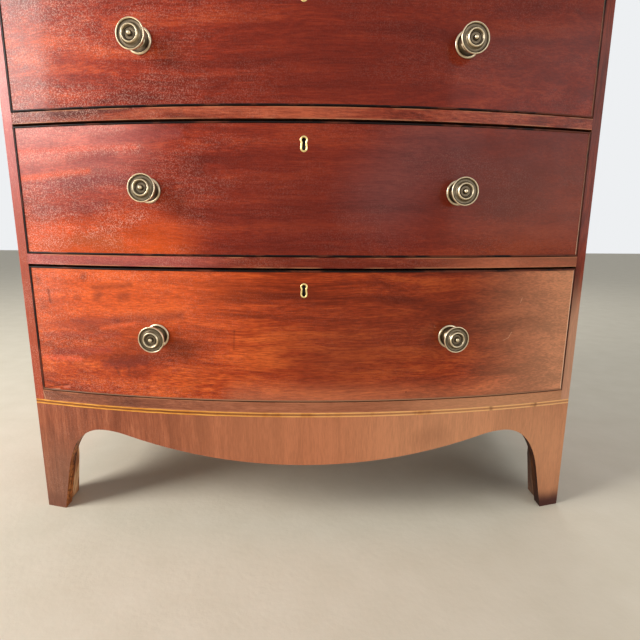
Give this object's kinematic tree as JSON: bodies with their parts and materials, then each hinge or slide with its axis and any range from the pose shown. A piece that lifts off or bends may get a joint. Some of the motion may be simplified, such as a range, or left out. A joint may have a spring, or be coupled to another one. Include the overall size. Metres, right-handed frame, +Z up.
{
  "type": "bow front chest of drawers",
  "caption": "Free-standing bow front chest of long drawers on shaped bracket feet, with turned brass knobs, cockbeads, keyhole threads and a string inlay.",
  "frame": {"origin": "bottom centre of the bounding box, on the floor", "axes": "+X to the right as seen from the front, +Y to the back, +Z up"},
  "size_m": [0.9304, 0.5276, 1.0384],
  "materials": {
    "mahogany": "glossy varnish, horizontal grain",
    "drawer_mahogany": "glossy varnish over figured veneer",
    "apron_mahogany": "satin varnish, vertical grain",
    "secondary_wood": "bare, aged pine",
    "ebonised_wood": "gloss black stain",
    "boxwood": "satin inlay",
    "brass": "aged, softly polished",
    "iron": "dark, dull"
  },
  "bodies": {
    "carcase": {"back_boards": "secondary_wood", "bottom_board": "secondary_wood", "bottom_rail": "mahogany", "lower_rail": "mahogany", "middle_rail": "mahogany", "upper_rail": "mahogany", "top_rail": "mahogany", "side_left": "mahogany", "side_right": "mahogany", "top_board": "mahogany", "drawer_runners": "secondary_wood", "kickers": "secondary_wood", "drawer_stops": "secondary_wood", "front_apron": "apron_mahogany", "side_apron_left": "apron_mahogany", "side_apron_right": "apron_mahogany", "rear_brackets": "secondary_wood", "glue_blocks": "secondary_wood", "light_strings": "boxwood", "dark_string": "ebonised_wood"},
    "bottom_drawer": {"bottom_drawer_front": "drawer_mahogany", "bottom_drawer_side_left": "secondary_wood", "bottom_drawer_side_right": "secondary_wood", "bottom_drawer_back": "secondary_wood", "bottom_drawer_bottom": "secondary_wood", "bottom_drawer_cockbead": "ebonised_wood", "bottom_drawer_knobs": "brass", "bottom_drawer_escutcheon": "brass", "bottom_drawer_lock": "iron"},
    "bottom_drawer_bolt": {"bottom_drawer_lock_bolt": "iron"},
    "third_drawer": {"third_drawer_front": "drawer_mahogany", "third_drawer_side_left": "secondary_wood", "third_drawer_side_right": "secondary_wood", "third_drawer_back": "secondary_wood", "third_drawer_bottom": "secondary_wood", "third_drawer_cockbead": "ebonised_wood", "third_drawer_knobs": "brass", "third_drawer_escutcheon": "brass", "third_drawer_lock": "iron"},
    "third_drawer_bolt": {"third_drawer_lock_bolt": "iron"},
    "second_drawer": {"second_drawer_front": "drawer_mahogany", "second_drawer_side_left": "secondary_wood", "second_drawer_side_right": "secondary_wood", "second_drawer_back": "secondary_wood", "second_drawer_bottom": "secondary_wood", "second_drawer_cockbead": "ebonised_wood", "second_drawer_knobs": "brass", "second_drawer_escutcheon": "brass", "second_drawer_lock": "iron"},
    "second_drawer_bolt": {"second_drawer_lock_bolt": "iron"},
    "top_drawer": {"top_drawer_front": "drawer_mahogany", "top_drawer_side_left": "secondary_wood", "top_drawer_side_right": "secondary_wood", "top_drawer_back": "secondary_wood", "top_drawer_bottom": "secondary_wood", "top_drawer_cockbead": "ebonised_wood", "top_drawer_knobs": "brass", "top_drawer_escutcheon": "brass", "top_drawer_lock": "iron"},
    "top_drawer_bolt": {"top_drawer_lock_bolt": "iron"}
  },
  "joints": [
    {"name": "bottom_drawer_slide", "type": "slide", "parent": "carcase", "child": "bottom_drawer", "axis": [0, -1, 0], "range_m": [0, 0.32]},
    {"name": "bottom_drawer_bolt_slide", "type": "slide", "parent": "bottom_drawer", "child": "bottom_drawer_bolt", "axis": [0, 0, 1], "range_m": [0, 0.008]},
    {"name": "third_drawer_slide", "type": "slide", "parent": "carcase", "child": "third_drawer", "axis": [0, -1, 0], "range_m": [0, 0.32]},
    {"name": "third_drawer_bolt_slide", "type": "slide", "parent": "third_drawer", "child": "third_drawer_bolt", "axis": [0, 0, 1], "range_m": [0, 0.008]},
    {"name": "second_drawer_slide", "type": "slide", "parent": "carcase", "child": "second_drawer", "axis": [0, -1, 0], "range_m": [0, 0.32]},
    {"name": "second_drawer_bolt_slide", "type": "slide", "parent": "second_drawer", "child": "second_drawer_bolt", "axis": [0, 0, 1], "range_m": [0, 0.008]},
    {"name": "top_drawer_slide", "type": "slide", "parent": "carcase", "child": "top_drawer", "axis": [0, -1, 0], "range_m": [0, 0.32]},
    {"name": "top_drawer_bolt_slide", "type": "slide", "parent": "top_drawer", "child": "top_drawer_bolt", "axis": [0, 0, 1], "range_m": [0, 0.008]}
  ]
}
